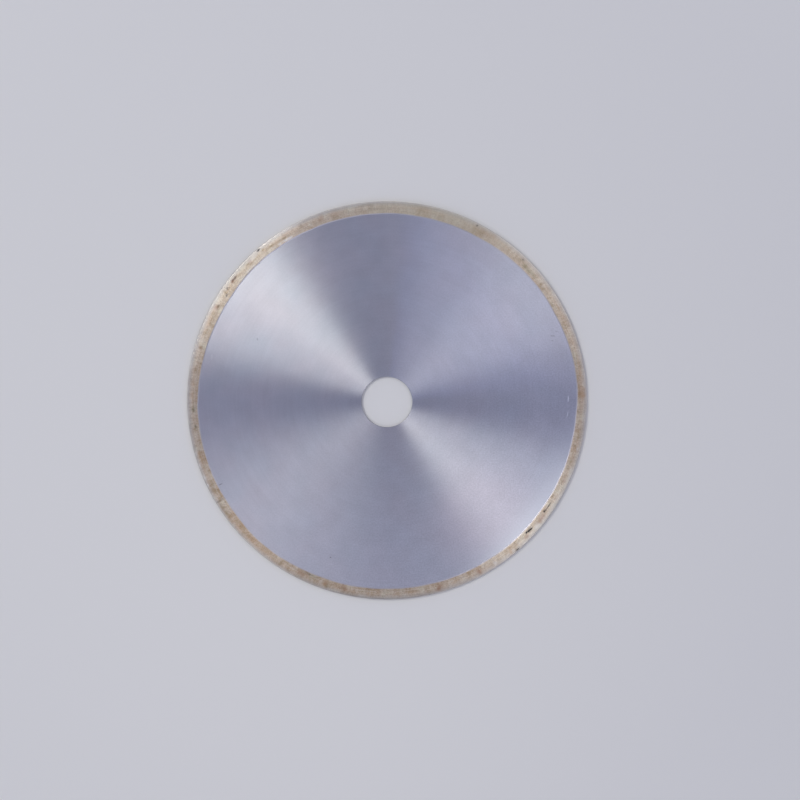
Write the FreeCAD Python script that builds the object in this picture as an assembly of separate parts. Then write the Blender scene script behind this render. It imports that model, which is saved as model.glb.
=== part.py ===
import FreeCAD, Part
import math
import os

# A continuous-rim diamond blade for wet cutting of ceramic tile.
# A flat ground steel core carries an unbroken ring of diamond-bearing bronze, sintered onto its edge.
# Frame, in millimetres: the origin is the centre of the bore at mid thickness, and +Z runs along the bore.
# The blade lies flat, as it rests when nothing holds it: it stands on the side of its rim.

# Driving dimensions
blade_diameter = 200.0  # over the rim
bore_diameter = 25.4  # one inch, for the saw's arbor
core_thickness = 1.6
rim_thickness = 2.2  # wider than the core, so that the core clears the cut
rim_height = 5.0  # full-thickness band of the rim, measured inwards from the blade's edge
rim_edge_radius = 0.5  # dressed round on both corners of the cutting edge
shoulder_width = 0.5  # taper that brings the rim's side down onto the core
bore_chamfer = 0.2

# The hidden joint: the core's edge is rebated to a tongue, and dovetail notches in it fill with bronze
tongue_thickness = 1.2
tongue_length = 2.0  # how far the tongue runs into the rim
notch_count = 48
notch_depth = 1.2
notch_mouth = 1.6  # width at the tongue's edge
notch_floor = 2.4  # width at the bottom, wider than the mouth, so that the bronze can't pull out

# Places that follow from those sizes
blade_radius = blade_diameter / 2
bore_radius = bore_diameter / 2
core_half = core_thickness / 2
rim_half = rim_thickness / 2
tongue_half = tongue_thickness / 2
band_radius = blade_radius - rim_height
root_radius = band_radius - shoulder_width
tongue_radius = root_radius + tongue_length
floor_radius = tongue_radius - notch_depth

axis_point = FreeCAD.Vector(0, 0, 0)
axis_direction = FreeCAD.Vector(0, 0, 1)


def section_point(radius, height):
    """A point of a half section, which lies in the XZ plane."""
    return FreeCAD.Vector(radius, 0, height)


def lines_through(points):
    """Straight edges from each point to the next."""
    return [Part.LineSegment(a, b).toShape() for a, b in zip(points, points[1:])]


def corner_arc(centre_radius, centre_height, radius, start_degrees):
    """A quarter-round of a half section, turning 90 degrees from its start angle."""
    angles = [math.radians(start_degrees + turn) for turn in (0, 45, 90)]
    points = [
        section_point(centre_radius + radius * math.cos(a), centre_height + radius * math.sin(a))
        for a in angles
    ]
    return Part.Arc(*points).toShape()


def turned(edges):
    """The solid swept by a closed half section, once round the blade's axis."""
    section = Part.Face(Part.Wire(edges))
    return section.revolve(axis_point, axis_direction, 360)


def dovetail_notch():
    """One notch as a prism through the tongue, on +X. It widens inwards and opens past the tongue's edge."""
    flare = (notch_floor - notch_mouth) / 2 / notch_depth
    overrun = notch_depth / 2
    mouth_radius = tongue_radius + overrun
    mouth_half = notch_mouth / 2 - flare * overrun
    floor_half = notch_floor / 2
    corners = [
        FreeCAD.Vector(floor_radius, -floor_half, -core_half),
        FreeCAD.Vector(mouth_radius, -mouth_half, -core_half),
        FreeCAD.Vector(mouth_radius, mouth_half, -core_half),
        FreeCAD.Vector(floor_radius, floor_half, -core_half),
    ]
    outline = Part.makePolygon(corners + corners[:1])
    return Part.Face(outline).extrude(FreeCAD.Vector(0, 0, core_thickness))


def steel_core():
    """The disc: bore with broken corners, two ground faces, and the notched tongue that holds the rim."""
    half_section = [
        section_point(bore_radius, core_half - bore_chamfer),
        section_point(bore_radius + bore_chamfer, core_half),
        section_point(root_radius, core_half),
        section_point(root_radius, tongue_half),
        section_point(tongue_radius, tongue_half),
    ]
    mirrored = [section_point(p.x, -p.z) for p in reversed(half_section)]
    outline = half_section + mirrored
    core = turned(lines_through(outline + outline[:1]))
    notches = []
    for number in range(notch_count):
        notch = dovetail_notch()
        notch.rotate(axis_point, axis_direction, number * 360.0 / notch_count)
        notches.append(notch)
    return core.cut(Part.makeCompound(notches))


def diamond_rim(core):
    """The sintered ring: flat sides, tapered shoulders and a rounded cutting edge, grown round the core's tongue."""
    corner_radius = blade_radius - rim_edge_radius
    corner_height = rim_half - rim_edge_radius
    lower_side = [
        section_point(root_radius, core_half),
        section_point(root_radius, -core_half),
        section_point(band_radius, -rim_half),
        section_point(corner_radius, -rim_half),
    ]
    cutting_edge = [
        section_point(blade_radius, -corner_height),
        section_point(blade_radius, corner_height),
    ]
    upper_side = [
        section_point(corner_radius, rim_half),
        section_point(band_radius, rim_half),
        section_point(root_radius, core_half),
    ]
    edges = (
        lines_through(lower_side)
        + [corner_arc(corner_radius, -corner_height, rim_edge_radius, -90)]
        + lines_through(cutting_edge)
        + [corner_arc(corner_radius, corner_height, rim_edge_radius, 0)]
        + lines_through(upper_side)
    )
    return turned(edges).cut(core)


def single_solid(shape):
    """The one solid that a boolean leaves, out of its compound."""
    solids = shape.Solids
    assert len(solids) == 1 and solids[0].isValid(), "expected one valid solid"
    return solids[0]


os.makedirs("parts", exist_ok=True)
core_solid = single_solid(steel_core())
rim_solid = single_solid(diamond_rim(core_solid))
for name, solid in {"steel_core": core_solid, "diamond_rim": rim_solid}.items():
    solid.exportStep("parts/" + name + ".step")
    print(name, "volume", round(solid.Volume, 1), "mm3, faces", len(solid.Faces))
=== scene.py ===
# %% [markdown]
# # A diamond tile blade
#
# This lesson dresses a imported model of a continuous-rim diamond blade, the kind that cuts ceramic tile
# under water. The blade has two pieces. The core is a flat steel disc, ground in circles round its bore.
# The rim is a ring of bronze powder and diamond grit, sintered onto the core's edge.
#
# The imported model fixes every size, so the first step loads it and keeps its box, which later sets the
# floor's height.

import bpy
import numpy as np
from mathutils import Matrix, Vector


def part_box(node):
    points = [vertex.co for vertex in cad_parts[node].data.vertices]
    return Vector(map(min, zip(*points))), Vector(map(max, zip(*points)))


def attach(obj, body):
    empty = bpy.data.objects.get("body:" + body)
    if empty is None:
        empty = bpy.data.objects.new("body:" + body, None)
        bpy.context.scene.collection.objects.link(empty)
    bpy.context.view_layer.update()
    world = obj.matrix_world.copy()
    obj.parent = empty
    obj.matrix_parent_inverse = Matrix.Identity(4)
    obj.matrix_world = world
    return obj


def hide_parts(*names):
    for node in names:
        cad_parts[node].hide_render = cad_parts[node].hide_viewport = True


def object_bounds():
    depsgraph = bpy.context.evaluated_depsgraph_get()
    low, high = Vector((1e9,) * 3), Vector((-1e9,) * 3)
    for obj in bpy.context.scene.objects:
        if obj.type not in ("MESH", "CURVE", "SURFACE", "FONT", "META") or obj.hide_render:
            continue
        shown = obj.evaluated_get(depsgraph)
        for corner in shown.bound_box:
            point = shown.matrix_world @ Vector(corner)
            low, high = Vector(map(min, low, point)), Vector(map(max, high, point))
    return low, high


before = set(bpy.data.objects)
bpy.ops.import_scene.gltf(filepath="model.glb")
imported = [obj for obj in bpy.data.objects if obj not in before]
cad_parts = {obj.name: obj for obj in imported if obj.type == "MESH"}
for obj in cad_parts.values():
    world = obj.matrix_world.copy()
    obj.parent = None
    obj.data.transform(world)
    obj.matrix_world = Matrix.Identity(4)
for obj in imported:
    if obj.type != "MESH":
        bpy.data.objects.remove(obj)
cad_box = [list(corner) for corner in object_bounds()]
rim_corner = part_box("diamond_rim")[1]
core_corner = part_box("steel_core")[1]
print("box of the packed model, in metres:", cad_box)

# %% [markdown]
# ## Sizes
#
# Blender works in metres, but a machinist thinks of a blade in millimetres. The sizes below are in
# millimetres and `MM` turns them into metres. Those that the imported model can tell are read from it, and
# most of the others repeat the drawing. Two are the scene's own. The shoulder is smeared a little wider by
# the grinding, and the steel's face reaches further out under the rim, to a seat at 95.4 mm, so that it
# never ends short of the rim where the line between them wanders.

# %% Sizes of the blade
MM = 0.001
blade_radius = round(rim_corner.x / MM, 3)
rim_half = round(rim_corner.z / MM, 3)
core_half = round(core_corner.z / MM, 3)
bore_radius = 12.7
bore_chamfer = 0.2
rim_height = 5.0
rim_edge_radius = 0.5
shoulder_width = 0.7
tongue_half = 0.6
tongue_radius = 96.5
seat_radius = 95.4
print(f"blade radius {blade_radius} mm, rim {2 * rim_half} mm thick, core {2 * core_half} mm thick")

# %% [markdown]
# ## Surfaces as closed rings
#
# Both pieces are rings: a closed outline, the section, carried once round the blade's axis. Such a surface
# is a function of two parameters, the angle round the axis and the place along the section. A grid of
# values for each gives every vertex at once, and the grid closes on itself both ways, so it has no seam and
# no pole. Blender's Spin tool could turn a section too, but numpy lets the section change with the angle.

# %% A ring from two grids
def ring_points(angle, radius, height):
    """Points at radius times the cosine and sine of the angle, and at the height, in metres.

    angle has one value per step of the turn, in radians. radius and height are in millimetres, one value
    per step and place of the section.
    """
    x = radius * np.cos(angle)
    y = radius * np.sin(angle)
    return np.stack([x, y, height], -1).reshape(-1, 3) * MM


def ring_quads(steps, places):
    """Quads of a grid that closes both ways, as four corner numbers each.

    Each quad joins a place and the place after it, on this step of the turn and on the step after it.
    """
    step = np.arange(steps)[:, None]
    place = np.arange(places)[None, :]
    after = (step + 1) % steps
    beside = (place + 1) % places
    here, there = step * places, after * places
    return np.stack([here + place, there + place, there + beside, here + beside], -1).reshape(-1, 4)


def enclosed_volume(points, faces):
    """Volume inside the faces in cubic millimetres.

    It is the sum of the tetrahedra from the origin to each triangle, positive where faces point outwards.
    """
    corner = [points[faces[:, k]] / MM for k in range(faces.shape[1])]
    fans = [np.einsum("ij,ij->i", corner[0], np.cross(b, c)) for b, c in zip(corner[1:], corner[2:])]
    return sum(fans).sum() / 6


# %% [markdown]
# `add_piece` puts points and faces into a mesh. Smooth shading with sharp edges past 25 degrees keeps the
# flat faces truly flat while the dressed corners stay round. The piece rides on the blade's one body, which
# is called root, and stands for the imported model's own solid of that piece.

# %% Put a surface into a mesh
sharp_edge = np.radians(25)


def add_piece(name, points, faces, *replaced):
    """A mesh object at the origin that rides on the blade and stands for the named solids."""
    mesh = bpy.data.meshes.new(name)
    mesh.vertices.add(len(points))
    mesh.vertices.foreach_set("co", points.astype(np.float32).ravel())
    sides = faces.shape[1]
    mesh.loops.add(faces.size)
    mesh.loops.foreach_set("vertex_index", faces.astype(np.int32).ravel())
    mesh.polygons.add(len(faces))
    mesh.polygons.foreach_set("loop_start", np.arange(0, faces.size, sides, dtype=np.int32))
    mesh.update(calc_edges=True)
    mesh.validate()
    mesh.shade_smooth()
    mesh.set_sharp_from_angle(angle=sharp_edge)
    piece = bpy.data.objects.new(name, mesh)
    bpy.context.scene.collection.objects.link(piece)
    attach(piece, "root")
    if replaced:
        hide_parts(*replaced)
    triangles = len(faces) * (sides - 2)
    volume = enclosed_volume(points, faces)
    print(f"{name}: {len(points)} points, {triangles} triangles, {volume:.0f} cubic mm")
    return piece


# %% [markdown]
# ## The steel core
#
# The real core is stamped from tool steel, hardened, and ground flat on both faces. Its section is a long
# flat bar: the bore's wall, a small chamfer, the face, and a tongue at the outer end that hides inside the
# rim. The faces need few points, because they are flat. The steps round the axis are many, so that the bore
# stays round when seen close.

# %% Section of the core
def polyline(corners, runs):
    """Points along a closed outline: the run from each corner to the next, divided into equal parts."""
    ends = corners[1:] + corners[:1]
    made = []
    for start, end, parts in zip(corners, ends, runs):
        share = np.arange(parts)[:, None] / parts
        made.append(np.array(start) + share * (np.array(end) - np.array(start)))
    return np.concatenate(made)


core_corners = [
    (bore_radius, -core_half + bore_chamfer),
    (bore_radius + bore_chamfer, -core_half),
    (seat_radius, -core_half),
    (seat_radius, -tongue_half),
    (tongue_radius, -tongue_half),
    (tongue_radius, tongue_half),
    (seat_radius, tongue_half),
    (seat_radius, core_half),
    (bore_radius + bore_chamfer, core_half),
    (bore_radius, core_half - bore_chamfer),
]
core_runs = [2, 20, 1, 1, 2, 1, 1, 20, 2, 3]
core_section = polyline(core_corners, core_runs)
core_steps = 768
core_angle = np.arange(core_steps)[:, None] * 2 * np.pi / core_steps
every_step = np.ones((core_steps, 1))
core_points = ring_points(core_angle, every_step * core_section[:, 0], every_step * core_section[:, 1])
core = add_piece("ground_core", core_points, ring_quads(core_steps, len(core_section)), "steel_core")

# %% [markdown]
# ## The rim
#
# The rim is bronze powder and diamond grit, pressed and sintered onto the core's edge. Its section starts at
# the foot of its inner shoulder, climbs to the full thickness, runs out to the cutting edge and turns round
# it over two dressed corners. The line where it meets the steel wanders, and the band is a little wider on
# one side of the blade, because the sides were ground after sintering. That line is a sum of functions of
# the angle: an oval, a shift off centre, a few slow waves, and bell curves for the stretches where the band
# is wider or narrower than those make it.

# %% Where the rim meets the steel
rim_steps = 1440
rim_angle = np.arange(rim_steps)[:, None] * 2 * np.pi / rim_steps
rng = np.random.default_rng(7)


def bell(centre, half_width):
    """A bell curve over the rim's angle, in degrees: exp of minus the squared distance in half widths."""
    away = np.angle(np.exp(1j * (rim_angle - np.radians(centre))))
    return np.exp(-((away / np.radians(half_width)) ** 2))


def bells(*terms):
    """The sum of bell curves over the rim's angle, each with a centre, a half width and a height."""
    return sum(height * bell(centre, half_width) for centre, half_width, height in terms)


wave_counts = (13, 21, 34, 55)
wave_heights = (0.05, 0.04, 0.04, 0.03)
wave_starts = rng.uniform(0, 2 * np.pi, len(wave_counts))
waves = zip(wave_counts, wave_heights, wave_starts)
wander = sum(height * np.cos(count * rim_angle + start) for count, height, start in waves)
oval = 0.40
off_centre = 0.27
out_of_round = oval * np.cos(2 * rim_angle) - off_centre * np.sin(rim_angle)
wider = bells(
    (64, 13, 0.36), (122, 8, 0.2), (142, 8, 0.25), (154, 12, 0.89), (172, 9, 0.6), (191, 12, 0.25),
    (211, 9, 0.24), (324, 9, 0.3), (347, 10, 0.3),
)
narrower = bells((9, 10, 0.4), (230, 9, 0.35))
band_inner = blade_radius - rim_height + out_of_round - wider + narrower + wander
print(f"inner edge of the band: {band_inner.min():.2f} to {band_inner.max():.2f} mm from the axis")

# %% [markdown]
# One side of the section is described first: the shoulder, the ground side and the dressed corner, with the
# direction in which each place faces. The other side is the same with its heights turned over. The cutting
# edge joins them outside, and inside they grip the core's tongue.

# %% Section of the rim
side_places = 17
corner_places = 5
edge_places = 5
flat_end = blade_radius - rim_edge_radius
corner_height = rim_half - rim_edge_radius
rise = rim_half - core_half
side_share = np.linspace(0, 1, side_places)
corner_turn = np.radians(np.linspace(90, 0, corner_places + 2)[1:])
column = np.ones((rim_steps, 1))
side_radius = np.hstack([
    band_inner - shoulder_width,
    band_inner - 0.5 * shoulder_width,
    band_inner + (flat_end - band_inner) * side_share,
    column * (flat_end + rim_edge_radius * np.cos(corner_turn)),
])
side_height = np.concatenate([
    [core_half, core_half + 0.6 * rise],
    np.full(side_places, rim_half),
    corner_height + rim_edge_radius * np.sin(corner_turn),
])
side_facing_out = np.concatenate([[0, -0.6], np.zeros(side_places), np.cos(corner_turn)])
side_facing_up = np.concatenate([[0, 0.8], np.ones(side_places), np.sin(corner_turn)])
edge_height = np.linspace(-corner_height, corner_height, edge_places + 2)[1:-1]
tongue_radii = [seat_radius, seat_radius, tongue_radius, tongue_radius, seat_radius, seat_radius]
tongue_heights = [core_half, tongue_half, tongue_half, -tongue_half, -tongue_half, -core_half]
hidden = np.zeros(len(tongue_radii))
edge = np.ones(edge_places)
edge_radius = column * edge * blade_radius
rim_radius = np.hstack([side_radius, edge_radius, side_radius[:, ::-1], column * tongue_radii])
section_height = np.concatenate([-side_height, edge_height, side_height[::-1], tongue_heights])
facing_out = np.concatenate([side_facing_out, edge, side_facing_out[::-1], hidden])
facing_up = np.concatenate([-side_facing_up, 0 * edge, side_facing_up[::-1], hidden])
rim_places = len(section_height)
on_front = (facing_up > 0) * 1.0
on_back = (facing_up < 0) * 1.0
print(f"section of the rim: {rim_places} places, {rim_steps} steps")

# %% [markdown]
# ## Unevenness of sintered powder
#
# Pressed powder shrinks as it is sintered, and grinding it leaves grains, drag lines and pores of a few
# hundredths of a millimetre. They are drawn as random values on the section's own grid. Blender's Displace
# modifier could do this, but its textures would have a seam, and here the surface must never pass the
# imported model's faces. Smoothing in the frequencies keeps the values periodic, so that the ring closes.

# %% Smooth random values on the grid
step_length = 2 * np.pi * blade_radius / rim_steps
place_width = (rim_height - rim_edge_radius) / (side_places - 1)


def smooth_noise(along, across):
    """Random values with cells of the given lengths in millimetres, a mean of 0 and a spread of 1.

    The spectrum of white noise is multiplied by a bell curve, exp(-5 (cell length x frequency)^2).
    """
    white = rng.standard_normal((rim_steps, rim_places))
    along_wave = np.fft.fftfreq(rim_steps)[:, None] * along / step_length
    across_wave = np.fft.rfftfreq(rim_places)[None, :] * across / place_width
    spectrum = np.fft.rfft2(white) * np.exp(-5 * (along_wave**2 + across_wave**2))
    field = np.fft.irfft2(spectrum, s=white.shape)
    return (field - field.mean()) / field.std()


# %% [markdown]
# ## Stains, pits and chips
#
# The sides of the rim are stained brown and olive where the furnace and the cooling water left them, and a
# few pores have opened into dark pits. A mark is a bell curve on the grid. It falls with the distance from
# the mark's middle: along the rim over half its length, and across the rim over half its width. The front
# has the marks that a look at the blade shows, and the back gets a little over half as many at random. Noise
# with cells of 1.5 mm makes their outlines ragged. They go into the mesh as attributes that the material
# reads.

# %% Marks on the rim
def spots(marks, side):
    """The strongest of several bell curves at each place of one side.

    A mark is its angle in degrees, then its distance from the axis, its length along the rim and its width
    across it, in millimetres, and its strength. Where that is over 1, the mark is dark to its very outline.
    """
    strongest = np.zeros((rim_steps, rim_places))
    for degrees, radius, length, width, strength in marks:
        along = np.angle(np.exp(1j * (rim_angle - np.radians(degrees)))) * radius
        across = rim_radius - radius
        mark = strength * np.exp(-((2 * along / length) ** 2) - (2 * across / width) ** 2)
        strongest = np.maximum(strongest, mark)
    return strongest * side


def random_marks(count, lengths, widths):
    """Marks anywhere on the rim, with a length and width drawn between the two given."""
    degrees = rng.uniform(0, 360, count)
    radius = rng.uniform(95.6, 98.8, count)
    length = rng.uniform(*lengths, count)
    width = rng.uniform(*widths, count)
    strength = rng.uniform(0.4, 1, count)
    return np.stack([degrees, radius, length, width, strength], -1)


front_marks = {
    "tan": [
        (2.5, 97.2, 9, 4.6, 0.55), (26, 97.3, 4, 4, 0.25), (59, 97.0, 9, 4, 0.35), (78, 97.2, 9, 4, 0.15),
        (105, 97, 4, 4, 0.3), (110, 97, 4, 4, 0.25), (123, 97.0, 9, 3.0, 0.15), (155, 97, 8, 3, 0.15),
        (196, 97.3, 10, 3, 0.35), (218, 97.6, 12, 3.4, 0.35), (226, 97.4, 8, 3, 0.3), (243, 97, 7, 4, 0.45),
        (251, 97.3, 5, 4, 0.4), (257.5, 97.2, 5, 4, 0.45), (285.3, 97.2, 5, 4.4, 0.3),
        (299, 97.2, 3, 4, 0.4), (309.4, 97.4, 4, 4.6, 0.5), (345, 97, 10, 3, 0.3), (353, 97, 8, 3, 0.3),
    ],
    "brown": [
        (28.5, 97, 1.6, 3, 0.3), (36, 96.1, 6, 2, 0.45), (37.6, 96.6, 1.6, 2, 0.4), (60.5, 96.8, 3, 3, 0.3),
        (116, 96.8, 1.4, 3, 0.4), (122.5, 96.5, 6, 0.8, 0.4), (126.5, 96.8, 6, 0.8, 0.4),
        (137, 96.9, 20, 0.9, 0.25), (129, 97.8, 1.8, 1.2, 0.4), (135.2, 97.6, 2.6, 0.8, 0.6),
        (141, 97.7, 4.6, 1.2, 0.6), (145.7, 97.3, 1.0, 2.8, 0.6), (150.3, 96.8, 2.4, 1.6, 0.65),
        (153, 97.4, 3, 1.4, 0.3), (159.5, 97.3, 5, 2.2, 0.35), (163.7, 97.0, 2.0, 1.6, 0.55),
        (206, 97.3, 6, 2.2, 0.5), (205, 98, 6, 1.2, 0.3), (214.5, 98.4, 8, 1.4, 0.3),
        (236.5, 97.4, 2, 3, 0.25), (311, 98.3, 2, 3, 0.3), (321.8, 97.2, 1.8, 2.4, 0.6),
        (337, 97.6, 3, 1.2, 0.5), (339.5, 96.9, 2, 1.4, 0.45), (342, 97.3, 2.4, 1.2, 0.45),
        (344.5, 97.8, 2, 1.2, 0.4), (347, 96.8, 1.6, 1.4, 0.5), (348.5, 96.3, 1.4, 1, 0.5),
        (350, 97.4, 3, 1, 0.5), (353, 97.0, 2, 1.6, 0.45),
    ],
    "olive": [
        (43.5, 96.4, 11, 2.0, 0.5), (46, 97, 4, 2, 0.35), (95, 97.5, 12, 4, 0.15), (182, 96.9, 3, 1.8, 0.6),
        (187.4, 96.5, 1.8, 1.2, 0.6), (214, 98, 8, 2, 0.25), (252, 98, 2, 2, 0.35), (341, 96.6, 5, 2, 0.3),
    ],
    "reddish": [
        (134, 97.8, 2, 1.6, 0.35), (141.3, 97.8, 3.4, 1.6, 0.9), (150.8, 97.1, 3, 2.4, 0.4),
        (163.9, 97.3, 3, 2.4, 0.2), (244, 97, 5, 3.6, 0.28), (257, 97, 3, 3.4, 0.26),
        (285.3, 97.2, 5, 3.2, 0.3), (299, 97.4, 5, 2.6, 0.32), (316, 97.8, 3, 1.4, 0.3),
        (322.6, 97.4, 6, 2.2, 0.42), (336, 97.4, 3, 1, 0.3),
    ],
    "black": [
        (46.4, 98.1, 1.0, 1.0, 0.6), (63, 98.7, 0.8, 0.8, 0.6), (130.1, 99.2, 1.4, 0.8, 0.9),
        # The mark at 136 degrees and 94.5 mm is painted shade, the shoulder's dark line.
        (136, 94.5, 18, 0.4, 0.2), (141, 97.8, 2.6, 0.7, 0.6), (144.5, 97.6, 1.3, 0.7, 0.4),
        (146.3, 96.0, 1.2, 0.7, 0.5), (150.3, 96.8, 1.4, 0.7, 0.35), (182.5, 97.0, 1.2, 1.2, 0.4),
        (187.2, 96.7, 1.0, 1.0, 0.4), (210.7, 97.2, 0.8, 5.0, 0.35), (246, 95.5, 6, 0.7, 0.4),
        (311.6, 99.4, 2.6, 0.6, 0.8), (316.9, 96.3, 1.1, 0.8, 1.6), (317.8, 96.6, 2.2, 0.8, 2.0),
        (318.6, 96.8, 1.2, 0.6, 1.4), (325.1, 96.4, 0.9, 1.0, 1.6), (325.6, 96.6, 1.4, 0.6, 1.2),
        (327.2, 96.7, 4.5, 0.4, 0.9),
    ],
    "pale": [
        # The marks at 123 and 135 degrees, 95.0 mm out, are a painted highlight on the shoulder's line.
        (123, 95.0, 14, 1.0, 1.0), (135, 95.0, 20, 0.9, 0.8), (133, 98, 6, 1.6, 0.4),
        # The marks at 195 to 205 degrees, 99.1 to 99.3 mm out, are a painted highlight on the rounded edge.
        (195, 99.2, 3, 0.8, 0.6), (199, 99.3, 3, 0.8, 0.8), (202.6, 99.1, 2.4, 1.0, 0.9),
        (205, 99.3, 1.6, 0.8, 0.9), (304, 98.2, 2.5, 2.4, 0.5), (313, 98, 2, 2, 0.4),
        (320, 98.2, 6, 2, 0.3), (340, 98.2, 3, 0.8, 0.4), (346, 98.3, 2, 0.8, 0.5),
    ],
}
back_marks = {
    "tan": random_marks(14, (3, 12), (2, 4)),
    "brown": random_marks(14, (2, 8), (0.8, 2.4)),
    "olive": random_marks(8, (2, 8), (0.8, 2)),
    "reddish": random_marks(6, (2, 8), (0.8, 2.2)),
    "black": random_marks(10, (0.7, 2.4), (0.5, 1)),
    "pale": random_marks(4, (0.6, 1.4), (0.5, 0.8)),
}
ragged = np.clip(1 + 0.5 * smooth_noise(1.5, 1.6), 0, 2)
nearly_whole = 0.6 + 0.4 * ragged
stains = {}
for kind in front_marks:
    stain = spots(front_marks[kind], on_front) + spots(back_marks[kind], on_back)
    stains[kind] = np.clip(stain * (nearly_whole if kind == "black" else ragged), 0, 1)
print("marks on the rim:", {kind: len(front_marks[kind]) + len(back_marks[kind]) for kind in front_marks})

# %% [markdown]
# ## Relief of the rim
#
# The bond, the bronze between the crystals, is worn a little below the diamonds that it holds: 0.02 mm on
# the ground sides and 0.05 mm on the cutting edge. Grains, drag lines along the cut, pores, dark pits, the
# slanting lines of the grinding wheel and chips of the cutting edge go in from there. The relief is measured
# inwards, along the direction in which each place faces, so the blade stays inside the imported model.

# %% Push the surface in
side_wear = 0.02
edge_wear = 0.05
bond_depth = side_wear + (edge_wear - side_wear) * np.clip(facing_out, 0, 1)
grain = 0.008 * smooth_noise(0.7, 0.5)
drag = 0.006 * smooth_noise(5, 0.4)
rarest = 1.9
pore_depth = 0.05
pit_depth = 0.28
pores = pore_depth * np.clip(smooth_noise(0.9, 0.6) - rarest, 0, 1)
pits = pit_depth * stains["black"] ** 2
grinding_lines = 380
line_slant = 3.0
line_depth = 0.006
slant = np.sin(grinding_lines * rim_angle + line_slant * rim_radius)
on_outer_half = np.clip((rim_radius - 97.2) / 0.8, 0, 1)
grinding = line_depth * slant * on_outer_half * bells((136, 24, 1), (40, 20, 0.5), (280, 30, 0.4))
chips = np.zeros((rim_steps, rim_places))
chip_count = 26
large_chip = 311.6
chip_reach = 0.5
chip_depth = 0.12
for degrees in np.append(rng.uniform(0, 360, chip_count), large_chip):
    chip_size = rng.uniform(0.5, 1.4)
    along = np.angle(np.exp(1j * (rim_angle - np.radians(degrees)))) * blade_radius
    from_edge = rim_radius - blade_radius
    chip = np.exp(-((along / chip_size) ** 2)) * np.exp(-((from_edge / chip_reach) ** 2))
    chips += chip_depth * chip_size * chip * (on_front if rng.random() < 0.5 else on_back)
deepest = 0.5
depth = np.clip(bond_depth + pores + pits + chips - grain - drag - grinding, 0, deepest)
dug_radius = rim_radius - depth * facing_out
dug_height = section_height - depth * facing_up
print(f"relief: mean {depth.mean():.3f} mm, deepest {depth.max():.2f} mm")

# %% The rim's mesh
rim_points = ring_points(rim_angle, dug_radius, dug_height)
rim = add_piece("sintered_rim", rim_points, ring_quads(rim_steps, rim_places), "diamond_rim")

# %% [markdown]
# ## Paler and darker stretches of the rim, with painted highlights and shade
#
# Besides its marks the rim has slow changes. A pale line is painted along the rounded corners as their
# highlight, handling rubs the outer part grey, and some stretches are yellower than others. Where the
# lamps' fans of light cross the rim, a paler, less coloured tint is painted as the bronze's sheen. The
# tone, a factor on the colour, says how much paler or darker a stretch is. Each term is a bell curve over
# the angle and holds for one part of the band: all of it, its outer or inner half, its middle, the shoulder
# beside the steel or the rounded corner. The shoulder's terms are painted highlight and shade on its line,
# and the corner's terms painted shade. Painting a picture could do the same, but these few numbers can be
# read and changed.

# %% Parts of the band
everywhere = np.ones((rim_steps, rim_places))
outer_part = np.clip((rim_radius - 96.8) / 2, 0, 1)
inner_part = 1 - outer_part
middle = np.exp(-(((rim_radius - 97.7) / 0.9) ** 2))
corner_part = np.clip((rim_radius - 99.1) / 0.4, 0, 1)
shoulder = np.clip((band_inner - rim_radius) / 0.4, 0, 1)
off_edge = np.abs(facing_up)

# %% Tone and layers
tone = 1.09 + 0.03 * middle
for part, terms in (
    (everywhere, [
        (44, 16, 0.08), (98, 18, 0.12), (122, 9, 0.12), (150, 8, 0.10), (318, 20, 0.17),
        (32, 10, -0.05), (66, 12, -0.09), (136, 9, -0.05), (246, 8, -0.10), (264, 20, -0.12),
    ]),
    (outer_part, [
        (6, 14, 0.06), (123, 7, 0.24), (157, 16, 0.08), (262, 30, -0.07), (305, 25, -0.06),
    ]),
    (inner_part, [(8, 12, -0.05), (154, 12, -0.06), (192, 10, -0.09), (350, 12, 0.10)]),
    (middle, [
        (8, 14, 0.06), (100, 20, 0.04), (122, 8, 0.12), (155, 14, 0.17), (174, 10, 0.10), (324, 10, 0.05),
    ]),
    # Painted highlight and shade: the shoulder's line is paler in some stretches and darker in others.
    (shoulder, [
        (88, 26, -0.14), (130, 18, 0.3), (215, 22, -0.10), (292, 8, 0.10), (306, 8, -0.14), (347, 12, 0.12),
    ]),
    # Painted shade: the rounded corner is drawn darker at 155, 270 and 325 degrees.
    (corner_part, [(155, 12, -0.12), (270, 16, -0.2), (325, 11, -0.18)]),
):
    tone = tone + part * bells(*terms)
# Painted highlight: a pale line along the rounded corners, strongest where they face the sides.
painted_corner_highlight = np.clip((rim_radius - 99.3) / 0.4, 0, 1) * (0.5 + 0.2 * ragged) * off_edge
rubbed = np.clip((rim_radius - 97.6) / 1.8, 0, 1) * (0.42 + 0.15 * bell(125, 50))
heat = 0.5 + bells((128, 34, 0.5), (196, 16, 0.4), (345, 20, 0.2), (60, 18, -0.4), (230, 12, -0.5))
# The pale layer also carries that painted highlight.
stains["pale"] = np.clip(stains["pale"] + painted_corner_highlight, 0, 1)
# The shoulder layer paints a pale grey highlight along the shoulder.
stains["shoulder"] = shoulder
stains["tone"] = tone
# Painted sheen: a paler, less coloured tint where the lamps' fans of light cross the rim.
stains["painted_fan_sheen"] = (0.4 + 0.6 * outer_part) * bells((60, 20, 0.35), (138, 26, 0.5), (318, 22, 0.5))
stains["rubbed"] = rubbed * (0.4 + 0.6 * off_edge)
stains["patina"] = 0.4 * bell(78, 26) * everywhere
stains["heat"] = heat * everywhere
for kind, values in stains.items():
    layer = rim.data.attributes.new(kind, "FLOAT", "POINT")
    layer.data.foreach_set("value", values.astype(np.float32).ravel())
print(f"tone from {tone.min():.2f} to {tone.max():.2f}, attributes of the rim: {sorted(stains)}")

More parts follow.
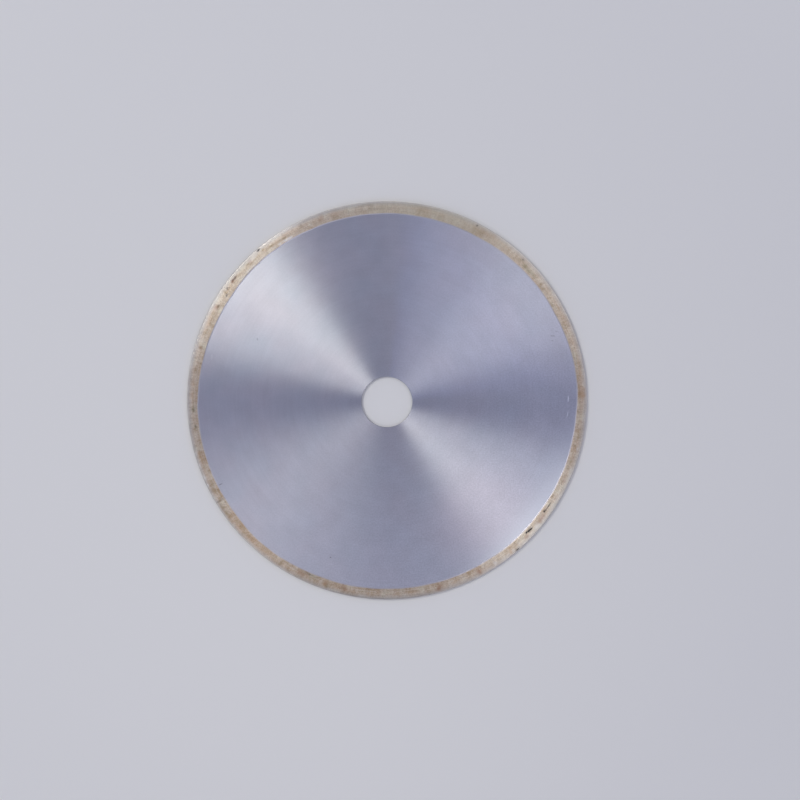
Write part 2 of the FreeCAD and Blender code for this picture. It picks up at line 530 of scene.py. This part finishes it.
# %% [markdown]
# ## Diamond grit
#
# What cuts the tile is synthetic diamond: blocky yellow crystals a third of a millimetre across, eight-sided
# like the mineral. Grinding the sides has levelled them, so each crystal shows a flat facet, flush with the
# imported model's faces, just above the worn bond. Each is an octahedron: its corners are a size times plus
# and minus three directions at right angles, and the corners that stand too high are brought down to the
# ground face. One crystal is 8 triangles, so thousands of them cost little.

# %% Where the crystals sit
grit_per_side = 2800
grit_on_edge = 1500


def around(count):
    """Random angles round the blade, in radians."""
    return rng.uniform(0, 2 * np.pi, count)


side_angles = around(2 * grit_per_side)
from_steel = 0.25
from_corner = 0.05
band_start = np.interp(side_angles, rim_angle[:, 0], band_inner[:, 0]) + from_steel
band_end = flat_end - from_corner
side_radii = band_start + (band_end - band_start) * rng.random(2 * grit_per_side)
grit_angle = np.concatenate([side_angles, around(grit_on_edge)])
grit_size = rng.uniform(0.11, 0.2, len(grit_angle))
sunk_share = 0.55
sunk = sunk_share * grit_size
side_of = np.repeat([1.0, -1.0], grit_per_side)
edge_sunk = sunk[2 * grit_per_side:]
grit_radius = np.concatenate([side_radii, blade_radius - edge_sunk])
grit_height = np.concatenate([
    side_of * (rim_half - sunk[:2 * grit_per_side]),
    rng.uniform(-corner_height, corner_height, grit_on_edge),
])
grit_x, grit_y = grit_radius * np.cos(grit_angle), grit_radius * np.sin(grit_angle)
grit_centres = np.stack([grit_x, grit_y, grit_height], -1)
print(f"{len(grit_centres)} crystals, {2 * grit_size.min():.2f} to {2 * grit_size.max():.2f} mm across")

# %% [markdown]
# Each crystal lies its own way. Three random directions, made square to each other, give its corners in
# pairs on either side of its middle. The corners are joined by the same eight triangles every time. What
# would stand above the ground side or past the cutting edge is brought back to it.

# %% Cut and place the crystals
turns, _ = np.linalg.qr(rng.standard_normal((len(grit_centres), 3, 3)))
turns[:, 0] *= np.sign(np.linalg.det(turns))[:, None]
corners = np.concatenate([turns, -turns], 1) * grit_size[:, None, None] + grit_centres[:, None, :]
corners[:, :, 2] = np.clip(corners[:, :, 2], -rim_half, rim_half)
reach = np.hypot(corners[:, :, 0], corners[:, :, 1])
corners[:, :, :2] *= np.minimum(1, blade_radius / reach)[:, :, None]
crystal = np.array([(0, 1, 2), (1, 3, 2), (3, 4, 2), (4, 0, 2), (1, 0, 5), (3, 1, 5), (4, 3, 5), (0, 4, 5)])
grit_faces = (crystal[None] + 6 * np.arange(len(grit_centres))[:, None, None]).reshape(-1, 3)
grit = add_piece("diamond_grit", corners.reshape(-1, 3) * MM, grit_faces)

# %% [markdown]
# ## Colours and nodes
#
# Shaders work in linear light, while hex colours are written for the screen, so one function turns a hex
# value into linear parts. Another adds a node with its settings and links in a single line. A third turns
# the size of a pattern, measured on the blade, into a noise texture's scale.
#
# Some inputs are given by number. A Mix node has its factor at input 0, its two colours at 6 and 7, and the
# mixed colour at output 2. A Map Range node has the value at input 0, the range that it comes from at 1 and
# 2, and the range that it goes to at 3 and 4.

# %% Helpers for materials
def linear(hex_colour):
    """Turns an sRGB hex colour into linear values and an opacity of 1.

    A part p becomes p / 12.92 where it is dark, and else ((p + 0.055) / 1.055)^2.4.
    """
    parts = [int(hex_colour[k:k + 2], 16) / 255 for k in (1, 3, 5)]
    return [p / 12.92 if p <= 0.04045 else ((p + 0.055) / 1.055) ** 2.4 for p in parts] + [1.0]


def add_node(tree, kind, links=None, **settings):
    """Adds one node. settings are its properties. links gives inputs a value or another node's output."""
    made = tree.nodes.new(kind)
    for key, value in settings.items():
        setattr(made, key, value)
    for key, value in (links or {}).items():
        if isinstance(value, bpy.types.NodeSocket):
            tree.links.new(value, made.inputs[key])
        else:
            made.inputs[key].default_value = value
    return made


def new_material(name):
    """An empty node material and its output node."""
    material = bpy.data.materials.new(name)
    material.use_nodes = True
    material.node_tree.nodes.clear()
    output = material.node_tree.nodes.new("ShaderNodeOutputMaterial")
    return material, material.node_tree, output


def cells_per_metre(size):
    """The scale of a noise whose cells have a size in millimetres: one metre divided by that size."""
    return 1 / (size * MM)


# %% [markdown]
# The steel and the bronze need to know where they are on the blade: how far from the axis, and in which
# direction. Both come from Object coordinates, since the blade's axis is their Z axis. The marks of grinding
# lie along circles, so the tangent that the anisotropic shader needs is the position turned a quarter turn:
# (-y, x).

# %% Places on the blade
def blade_places(tree):
    """Position in metres, direction of grinding, radius in millimetres, and a space where rings are flat.

    In the last one, Z is the radius in millimetres, and X and Y go round a circle of 3 units, so noise of
    unit cells there makes arcs a third of a radian long, with no seam.
    """
    position = add_node(tree, "ShaderNodeTexCoord").outputs["Object"]
    parts = add_node(tree, "ShaderNodeSeparateXYZ", {0: position}).outputs
    minus_y = add_node(tree, "ShaderNodeMath", {0: parts["Y"], 1: -1.0}, operation="MULTIPLY").outputs[0]
    grinding_way = add_node(tree, "ShaderNodeCombineXYZ", {"X": minus_y, "Y": parts["X"]}).outputs[0]
    to_flat_mm = (1 / MM, 1 / MM, 0)
    flat = add_node(tree, "ShaderNodeVectorMath", {
        0: position, 1: to_flat_mm,
    }, operation="MULTIPLY").outputs[0]
    radius = add_node(tree, "ShaderNodeVectorMath", {0: flat}, operation="LENGTH").outputs["Value"]
    unit = add_node(tree, "ShaderNodeVectorMath", {0: flat}, operation="NORMALIZE").outputs[0]
    circle = add_node(tree, "ShaderNodeVectorMath", {0: unit, "Scale": 3.0}, operation="SCALE").outputs[0]
    lift = add_node(tree, "ShaderNodeCombineXYZ", {"Z": radius}).outputs[0]
    ring_space = add_node(tree, "ShaderNodeVectorMath", {0: circle, 1: lift}, operation="ADD").outputs[0]
    return position, grinding_way, radius, ring_space


# %% [markdown]
# ## Steel ground in circles
#
# The core is tool steel, ground under a turning wheel while the blade itself turns. The wheel leaves fine
# scratches along circles, and these give the steel its fans of light, since light that falls across them is
# spread wide along the radius and hardly at all along the circle. A strongly anisotropic metal does just
# that, and a texture of drawn scratches couldn't, because they are a hundredth of a millimetre apart.
#
# The wheel's pressure makes rings that are a little lighter or darker, and water leaves faint clouds 9 mm
# wide. The steel's own grain is too fine to show, so it is drawn at 0.77 mm, and more strongly at the lower
# right, where the blade looks coarser. It changes both the shade and the slope of the surface.

# %% Patterns of the tool steel
steel, tree, output = new_material("circle_ground_tool_steel")
position, grinding_way, radius, ring_space = blade_places(tree)
rings_per_mm = 0.9
steel_patterns = []
for place, scale, detail in (
    (ring_space, rings_per_mm, 4.0),
    (position, cells_per_metre(9), 4.0),
    (position, cells_per_metre(26), 2.0),
    (position, cells_per_metre(0.77), 2.0),
):
    noise = add_node(tree, "ShaderNodeTexNoise", {"Vector": place, "Scale": scale, "Detail": detail})
    steel_patterns.append(noise.outputs[0])
rings, clouds, oil, grain = steel_patterns
toward_lower_right = (0.8, -0.6, 0)
lower_right = add_node(tree, "ShaderNodeVectorMath", {
    0: position, 1: toward_lower_right,
}, operation="DOT_PRODUCT").outputs["Value"]
grain_reach = add_node(tree, "ShaderNodeMapRange", {
    0: lower_right, 1: -40 * MM, 2: 60 * MM, 3: 0.3, 4: 1.0,
}).outputs[0]
grain_light = add_node(tree, "ShaderNodeMapRange", {0: grain, 1: 0.3, 2: 0.7, 3: -0.09, 4: 0.09}).outputs[0]
shade = add_node(tree, "ShaderNodeMath", {
    0: grain_light, 1: grain_reach, 2: 1.0,
}, operation="MULTIPLY_ADD").outputs[0]
for pattern, low, high, darkest, palest in (
    # Painted shade: the steel is drawn darker near the bore and paler outwards, as its fans brighten
    # outwards.
    (radius, 12.0, 75.0, 0.89, 1.02),
    (rings, 0.3, 0.7, 0.98, 1.02),
    (clouds, 0.3, 0.7, 0.965, 1.035),
):
    links = {0: pattern, 1: low, 2: high, 3: darkest, 4: palest}
    part = add_node(tree, "ShaderNodeMapRange", links).outputs[0]
    shade = add_node(tree, "ShaderNodeMath", {0: shade, 1: part}, operation="MULTIPLY").outputs[0]
print("nodes in the steel so far:", len(tree.nodes))

# %% [markdown]
# Films of oil and rust preventer, thinner than a wavelength of light, tint the steel, as they tint a puddle.
# The grey is a little warmer in patches of 26 mm and bluer towards the lower right. One film is blue: it
# covers a sector at the upper right and fades near the rim. A pinkish one is a round patch. Each film is a
# share, from 0 to 1, by which its colour replaces the grey.

# %% Films on the steel
oil_film = add_node(tree, "ShaderNodeMapRange", {0: oil, 1: 0.35, 2: 0.65, 3: 0.0, 4: 1.0}).outputs[0]
across_blade = add_node(tree, "ShaderNodeVectorMath", {
    0: position, 1: (1.0, -1.0, 0),
}, operation="DOT_PRODUCT").outputs["Value"]
cool_film = add_node(tree, "ShaderNodeMapRange", {
    0: across_blade, 1: -110 * MM, 2: 110 * MM, 3: 0.0, 4: 0.6,
}).outputs[0]
direction = add_node(tree, "ShaderNodeVectorMath", {0: position}, operation="NORMALIZE").outputs[0]
toward_upper_right = (0.707, 0.707, 0)
upper_right = add_node(tree, "ShaderNodeVectorMath", {
    0: direction, 1: toward_upper_right,
}, operation="DOT_PRODUCT").outputs["Value"]
blue_sector = add_node(tree, "ShaderNodeMapRange", {
    0: upper_right, 1: 0.72, 2: 0.84, 3: 0.0, 4: 0.3,
}, interpolation_type="SMOOTHSTEP").outputs[0]
toward_far_right = (0.84, 0.54, 0)
far_right = add_node(tree, "ShaderNodeVectorMath", {
    0: position, 1: toward_far_right,
}, operation="DOT_PRODUCT").outputs["Value"]
film_end = add_node(tree, "ShaderNodeMapRange", {
    0: far_right, 1: 66 * MM, 2: 86 * MM, 3: 1.0, 4: 0.3,
}).outputs[0]
blue_film = add_node(tree, "ShaderNodeMath", {0: blue_sector, 1: film_end}, operation="MULTIPLY").outputs[0]
pink_centre = (48 * MM, -56 * MM, 0)
from_pink = add_node(tree, "ShaderNodeVectorMath", {
    0: position, 1: pink_centre,
}, operation="DISTANCE").outputs["Value"]
pink_film = add_node(tree, "ShaderNodeMapRange", {
    0: from_pink, 1: 36 * MM, 2: 10 * MM, 3: 0.0, 4: 0.5,
}, interpolation_type="SMOOTHSTEP").outputs[0]
steel_grey = linear("#c2c4c9")
for film, colour in (
    (oil_film, "#c7c4c8"),
    (cool_film, "#c2c4d0"),
    (blue_film, "#c0c4dc"),
    (pink_film, "#cdc4cc"),
):
    links = {0: film, 6: steel_grey, 7: linear(colour)}
    steel_grey = add_node(tree, "ShaderNodeMix", links, data_type="RGBA").outputs[2]
grey = add_node(tree, "ShaderNodeCombineXYZ", {"X": shade, "Y": shade, "Z": shade}).outputs[0]
links = {0: 1.0, 6: steel_grey, 7: grey}
steel_colour = add_node(tree, "ShaderNodeMix", links, data_type="RGBA", blend_type="MULTIPLY").outputs[2]
print("nodes in the steel so far:", len(tree.nodes))

# %% [markdown]
# Handling has left a few dark specks and short scratches on the core. Each is an ellipsoid: a Mapping node
# moves, turns and scales space so that the mark becomes a ball of radius 1, and the distance from its middle
# tells how strong it is. The ellipsoids are thin, so a mark on the front doesn't come through to the back.
# A mark with a negative strength is one of the back.

# %% Specks and scratches of the core
dark_mark = linear("#55555c")
pale_mark = linear("#fbfcff")
core_marks = [
    (-64.7, 31.5, 1.4, 0.8, 90, dark_mark, 0.3),
    (-28.5, -78.5, 0.8, 0.6, 0, dark_mark, 0.6),
    (82.7, 33.1, 2.4, 0.35, 0, dark_mark, 0.6),
    (82.4, 30.8, 1.6, 0.3, 10, dark_mark, 0.35),
    (84.5, 35.4, 1.6, 0.3, -6, dark_mark, 0.35),
    (-83.7, -41.5, 2.2, 0.5, 26, dark_mark, 0.5),
    (90.7, 1.6, 3.2, 0.5, 88, pale_mark, 0.95),
    (90.4, -6.2, 3.6, 0.45, 78, pale_mark, 0.6),
    (-87.6, 22.6, 3.0, 1.0, 82, pale_mark, 0.12),
]
back_count = 7
back_places = rng.uniform(30, 88, back_count)
back_angles = around(back_count)
for mark_radius, mark_angle in zip(back_places, back_angles):
    x, y = -mark_radius * np.cos(mark_angle), mark_radius * np.sin(mark_angle)
    colour = dark_mark if rng.random() < 0.6 else pale_mark
    core_marks.append((x, y, rng.uniform(0.8, 4), 0.4, rng.uniform(0, 180), colour, -0.5))
mark_reach = 0.4
for x, y, length, width, turn, colour, strength in core_marks:
    face = core_half * np.sign(strength)
    ball = add_node(tree, "ShaderNodeMapping", {
        "Vector": position,
        "Location": (x * MM, y * MM, face * MM),
        "Rotation": (0, 0, np.radians(turn)),
        "Scale": (length / 2 * MM, width / 2 * MM, mark_reach * MM),
    }, vector_type="TEXTURE").outputs[0]
    away = add_node(tree, "ShaderNodeVectorMath", {0: ball}, operation="LENGTH").outputs["Value"]
    links = {0: away, 1: 1.2, 2: 0.7, 3: 0.0, 4: abs(strength)}
    fade = add_node(tree, "ShaderNodeMapRange", links).outputs[0]
    links = {0: fade, 6: steel_colour, 7: colour}
    steel_colour = add_node(tree, "ShaderNodeMix", links, data_type="RGBA").outputs[2]
print(len(core_marks), "specks and scratches")

# %% [markdown]
# Next to the rim at the lower right the steel is painted paler, a painted highlight where the lamp's fan of
# light grows brighter towards the rim. The shader takes the direction of grinding as its tangent, turned by
# a quarter, and its roughness of 0.39 is that of satin ground steel. The bumps of the grain are only 0.012
# mm high.

# %% Finish the steel
near_rim = add_node(tree, "ShaderNodeMapRange", {0: radius, 1: 80.0, 2: 94.0, 3: 0.0, 4: 1.0}).outputs[0]
one_side = add_node(tree, "ShaderNodeMapRange", {
    0: lower_right, 1: 76 * MM, 2: 92 * MM, 3: 0.04, 4: 0.7,
}).outputs[0]
# Painted highlight: the steel is drawn paler near the rim at the lower right, in the lamp's fan of light.
painted_fan_highlight = add_node(tree, "ShaderNodeMath", {0: near_rim, 1: one_side}, operation="MULTIPLY").outputs[0]
links = {0: painted_fan_highlight, 6: steel_colour, 7: linear("#dcdee4")}
steel_colour = add_node(tree, "ShaderNodeMix", links, data_type="RGBA").outputs[2]
grain_bump = add_node(tree, "ShaderNodeBump", {
    "Strength": grain_reach,
    "Height": grain,
    "Distance": 0.012 * MM,
}).outputs[0]
steel_shader = add_node(tree, "ShaderNodeBsdfPrincipled", {
    "Base Color": steel_colour,
    "Metallic": 1.0,
    "Roughness": 0.39,
    "Anisotropic": 0.98,
    "Anisotropic Rotation": 0.25,
    "Tangent": grinding_way,
    "Normal": grain_bump,
})
tree.links.new(steel_shader.outputs[0], output.inputs[0])
core.data.materials.append(steel)
print("nodes in the steel:", len(tree.nodes))

# %% [markdown]
# ## Sintered bronze
#
# The bond is tin bronze with a little iron and graphite. It is duller than a cast bronze, because it is
# grains and pores rather than one piece, so it is only partly metallic. Its sides were ground in circles
# too, so it has the same fans of light as the steel, only weaker. Its colour drifts from pink to yellow
# round the blade with the heat that it saw.
#
# Five patterns break up the colour, each towards a darker and a paler brown: patches of 6.7 mm, blotches of
# 3.3 mm, a speckle, streaks that follow the circles, and short marks across the band, where the wheel left
# it. The powder's own grains are under a tenth of a millimetre, too fine to show, so the speckle is drawn
# at 0.6 mm. Over them lie the layers that the mesh carries, from the thinnest to the darkest.

# %% Patterns of the bronze bond
bronze, tree, output = new_material("sintered_tin_bronze")
position, grinding_way, radius, ring_space = blade_places(tree)
streaks_per_mm = 3.2
short_arcs = (30, 30, 0.5)
across = add_node(tree, "ShaderNodeVectorMath", {
    0: ring_space, 1: short_arcs,
}, operation="MULTIPLY").outputs[0]
bronze_patterns = []
for place, scale, detail in (
    (position, cells_per_metre(0.59), 3.0),
    (position, cells_per_metre(3.3), 3.0),
    (position, cells_per_metre(6.7), 3.0),
    (ring_space, streaks_per_mm, 3.0),
    (across, 1.0, 4.0),
):
    noise = add_node(tree, "ShaderNodeTexNoise", {"Vector": place, "Scale": scale, "Detail": detail})
    bronze_patterns.append(noise.outputs[0])
speckle, blotch, patches, streak, brushed = bronze_patterns
heat_share = add_node(tree, "ShaderNodeAttribute", attribute_name="heat").outputs["Fac"]
links = {0: heat_share, 6: linear("#cbb9a2"), 7: linear("#d0b688")}
bronze_colour = add_node(tree, "ShaderNodeMix", links, data_type="RGBA").outputs[2]
for pattern, low, high, most, colour in (
    (patches, 0.47, 0.74, 0.6, "#b3926a"),
    (patches, 0.46, 0.26, 0.6, "#d3d0b4"),
    (blotch, 0.50, 0.76, 0.62, "#967f5c"),
    (blotch, 0.44, 0.24, 0.62, "#d9d2c2"),
    (streak, 0.50, 0.76, 0.65, "#a48a69"),
    (streak, 0.46, 0.26, 0.65, "#d6d0bc"),
    (brushed, 0.50, 0.78, 0.42, "#9c8160"),
    (brushed, 0.47, 0.23, 0.42, "#e2dbc7"),
    (speckle, 0.56, 0.74, 0.6, "#7d6a58"),
    (speckle, 0.44, 0.26, 0.6, "#e2d8c8"),
):
    share = add_node(tree, "ShaderNodeMapRange", {0: pattern, 1: low, 2: high, 3: 0.0, 4: most}).outputs[0]
    links = {0: share, 6: bronze_colour, 7: linear(colour)}
    bronze_colour = add_node(tree, "ShaderNodeMix", links, data_type="RGBA").outputs[2]
print("nodes in the bronze so far:", len(tree.nodes))

# %% Layers on the bronze, and its shader
for kind, colour in (
    ("rubbed", "#c1c2c0"),
    # painted sheen of the fans of light
    ("painted_fan_sheen", "#cfc9bc"),
    ("patina", "#c9c3a6"),
    ("tan", "#b08e6c"),
    ("olive", "#8a7f5e"),
    ("brown", "#8c7654"),
    ("reddish", "#8a5a4a"),
    # painted highlight: the shoulder is drawn pale grey all round
    ("shoulder", "#bfbdc2"),
    ("pale", "#d8d3ca"),
    ("black", "#0c0907"),
):
    layer = add_node(tree, "ShaderNodeAttribute", attribute_name=kind).outputs["Fac"]
    links = {0: layer, 6: bronze_colour, 7: linear(colour)}
    bronze_colour = add_node(tree, "ShaderNodeMix", links, data_type="RGBA").outputs[2]
factor = add_node(tree, "ShaderNodeAttribute", attribute_name="tone").outputs["Fac"]
toned = add_node(tree, "ShaderNodeVectorMath", {
    0: bronze_colour, "Scale": factor,
}, operation="SCALE").outputs[0]
black = add_node(tree, "ShaderNodeAttribute", attribute_name="black").outputs["Fac"]
metallic = add_node(tree, "ShaderNodeMapRange", {0: black, 1: 0.0, 2: 0.6, 3: 0.6, 4: 0.0}).outputs[0]
roughness = add_node(tree, "ShaderNodeMapRange", {0: black, 1: 0.0, 2: 0.6, 3: 0.4, 4: 1.0}).outputs[0]
powder = add_node(tree, "ShaderNodeBump", {"Height": speckle, "Distance": 0.01 * MM}).outputs[0]
bronze_shader = add_node(tree, "ShaderNodeBsdfPrincipled", {
    "Base Color": toned,
    "Metallic": metallic,
    "Roughness": roughness,
    "Anisotropic": 0.96,
    "Anisotropic Rotation": 0.25,
    "Tangent": grinding_way,
    "Normal": powder,
})
tree.links.new(bronze_shader.outputs[0], output.inputs[0])
rim.data.materials.append(bronze)
print("nodes in the bronze:", len(tree.nodes))

# %% [markdown]
# ## Synthetic diamond
#
# Grit of this kind is grown with nickel and iron, which leave it yellow and cloudy, so it is drawn as a
# dielectric with diamond's own index of refraction, 2.42, and a cloudy body rather than as clear glass. Its
# facets give small bright glints.

# %% Diamond crystals
diamond, tree, output = new_material("cloudy_synthetic_diamond")
position = add_node(tree, "ShaderNodeTexCoord").outputs["Object"]
tint = add_node(tree, "ShaderNodeTexNoise", {
    "Vector": position, "Scale": cells_per_metre(1.1), "Detail": 1.0,
}).outputs[0]
tint = add_node(tree, "ShaderNodeMapRange", {0: tint, 1: 0.35, 2: 0.65, 3: 0.0, 4: 1.0}).outputs[0]
links = {0: tint, 6: linear("#8f8568"), 7: linear("#cfc7ac")}
diamond_colour = add_node(tree, "ShaderNodeMix", links, data_type="RGBA").outputs[2]
diamond_shader = add_node(tree, "ShaderNodeBsdfPrincipled", {
    "Base Color": diamond_colour,
    "Roughness": 0.28,
    "IOR": 2.42,
})
tree.links.new(diamond_shader.outputs[0], output.inputs[0])
grit.data.materials.append(diamond)

# %% [markdown]
# ## Floor, light and camera
#
# The blade lies where it would come to rest, flat on a pale studio floor, and the camera looks down on it.
# The floor's middle is plain matt paper that takes light and shadow. Far from the blade the lamps don't
# reach, so there the camera and reflections see the backdrop's own pale colour instead, and floor and wall
# meet without a line.

# %% Floor
floor_size = 4.0
half_floor = floor_size / 2
floor_z = cad_box[0][2]
backdrop = linear("#cecfd5")
floor_corners = [
    (-half_floor, -half_floor, floor_z),
    (half_floor, -half_floor, floor_z),
    (half_floor, half_floor, floor_z),
    (-half_floor, half_floor, floor_z),
]
floor_mesh = bpy.data.meshes.new("studio_floor")
floor_mesh.from_pydata(floor_corners, [], [(0, 1, 2, 3)])
floor = bpy.data.objects.new("studio_floor", floor_mesh)
bpy.context.scene.collection.objects.link(floor)
paper, tree, output = new_material("pale_studio_paper")
position = add_node(tree, "ShaderNodeTexCoord").outputs["Object"]
away = add_node(tree, "ShaderNodeVectorMath", {0: position}, operation="LENGTH").outputs["Value"]
near_end = 0.22
far_start = 0.58
far = add_node(tree, "ShaderNodeMapRange", {
    0: away, 1: near_end, 2: far_start,
}, interpolation_type="SMOOTHSTEP").outputs[0]
ray = add_node(tree, "ShaderNodeLightPath").outputs
links = {0: ray["Is Camera Ray"], 1: ray["Is Glossy Ray"]}
seen = add_node(tree, "ShaderNodeMath", links, operation="MAXIMUM").outputs[0]
seen_far = add_node(tree, "ShaderNodeMath", {0: far, 1: seen}, operation="MULTIPLY").outputs[0]
matt = add_node(tree, "ShaderNodeBsdfPrincipled", {"Base Color": linear("#e7e6e0"), "Roughness": 0.9})
glow = add_node(tree, "ShaderNodeEmission", {"Color": backdrop})
floor_shader = add_node(tree, "ShaderNodeMixShader", {0: seen_far, 1: matt.outputs[0], 2: glow.outputs[0]})
tree.links.new(floor_shader.outputs[0], output.inputs[0])
floor_mesh.materials.append(paper)
print(f"floor {floor_size} m wide at a height of {floor_z / MM:.1f} mm")

# %% [markdown]
# The room round the blade is darker and bluer overhead than near the floor, where its walls are lit. That
# dark ceiling is what the steel shows between its fans of light.

# %% World
world = bpy.data.worlds.new("studio_room")
bpy.context.scene.world = world
world.use_nodes = True
room = world.node_tree
way = add_node(room, "ShaderNodeTexCoord").outputs["Generated"]
height = add_node(room, "ShaderNodeSeparateXYZ", {0: way}).outputs["Z"]
links = {0: height, 1: 0.08, 2: 0.4}
overhead = add_node(room, "ShaderNodeMapRange", links, interpolation_type="SMOOTHSTEP").outputs[0]
ceiling = linear("#9498b5")
links = {0: overhead, 6: backdrop, 7: ceiling}
room_colour = add_node(room, "ShaderNodeMix", links, data_type="RGBA").outputs[2]
room.links.new(room_colour, room.nodes["Background"].inputs["Color"])

# %% [markdown]
# ## Lamps
#
# Steel ground in circles answers each lamp with a fan of light on both sides of the bore, in line with the
# lamp's azimuth. So the fans say where the lamps are: two softboxes side by side at the upper left for the
# broad pair of fans, a third at the right for the narrower pair, a wide weak one that lifts the dark sector
# between them, and a low card in front. Each stands within 38 degrees of straight above. Lower lamps would
# dazzle from some other side. Each has the slight warmth of its own bulb.

# %% Softboxes
def softbox(name, azimuth, polar, distance, width, height, brightness, tint):
    """A rectangular lamp that looks at the blade, placed by azimuth, angle from the vertical and distance.

    brightness is that of its face, where 1 is white paper in full light. The lamp's power is that times pi
    times its area. Angles are in degrees and lengths in metres.
    """
    turn, lean = np.radians(azimuth), np.radians(polar)
    lamp = bpy.data.lights.new(name, "AREA")
    lamp.shape = "RECTANGLE"
    lamp.size, lamp.size_y = width, height
    lamp.energy = brightness * np.pi * width * height
    lamp.color = tint
    holder = bpy.data.objects.new(name, lamp)
    bpy.context.scene.collection.objects.link(holder)
    aside = distance * np.sin(lean)
    holder.location = (aside * np.cos(turn), aside * np.sin(turn), distance * np.cos(lean))
    holder.rotation_euler = (lean, 0, turn + np.pi / 2)
    holder.visible_camera = False
    print(f"{name}: {lamp.energy:.2f} W, {width} m by {height} m, {distance} m away")


softbox("main_softbox", 140.5, 34.0, 1.80, 0.39, 0.5, 8.70, (0.972, 0.965, 0.895))
softbox("side_softbox", 162.0, 33.0, 1.45, 0.30, 0.5, 4.95, (0.965, 0.965, 0.922))
softbox("second_softbox", 18.5, 17.5, 2.25, 0.42, 0.5, 4.55, (0.990, 0.965, 0.930))
softbox("wide_softbox", 58.5, 37.5, 1.40, 0.59, 0.5, 1.15, (0.985, 0.965, 0.940))
softbox("low_card", 261.5, 34.5, 0.42, 0.37, 0.18, 0.72, (1.000, 0.965, 0.870))

# %% [markdown]
# ## Camera
#
# The camera looks almost straight down, with its top leaning a little towards the blade's own top. Its
# distance follows from its lens: the blade takes up half of the picture's width, so the distance is the
# focal length over the sensor's width, times the blade's diameter over its share of the picture. The blade
# isn't quite in the middle, so the camera moves aside by a few millimetres.

# %% Place the camera
tilt = np.radians(4.8)
lens = 88.0
share_of_picture = 0.4991
aside, upwards = 6.5 * MM, 0.95 * MM
camera = bpy.data.objects.new("camera", bpy.data.cameras.new("camera"))
bpy.context.scene.collection.objects.link(camera)
bpy.context.scene.camera = camera
camera.data.lens = lens
diameter = 2 * blade_radius * MM
distance = lens / camera.data.sensor_width * diameter / share_of_picture
camera.rotation_euler = (-tilt, 0, 0)
camera_y = distance * np.sin(tilt) + upwards * np.cos(tilt)
camera_z = distance * np.cos(tilt) - upwards * np.sin(tilt)
camera.location = (aside, camera_y, camera_z)
bpy.context.scene.view_settings.view_transform = "Standard"
print(f"camera {distance:.3f} m from the bore")
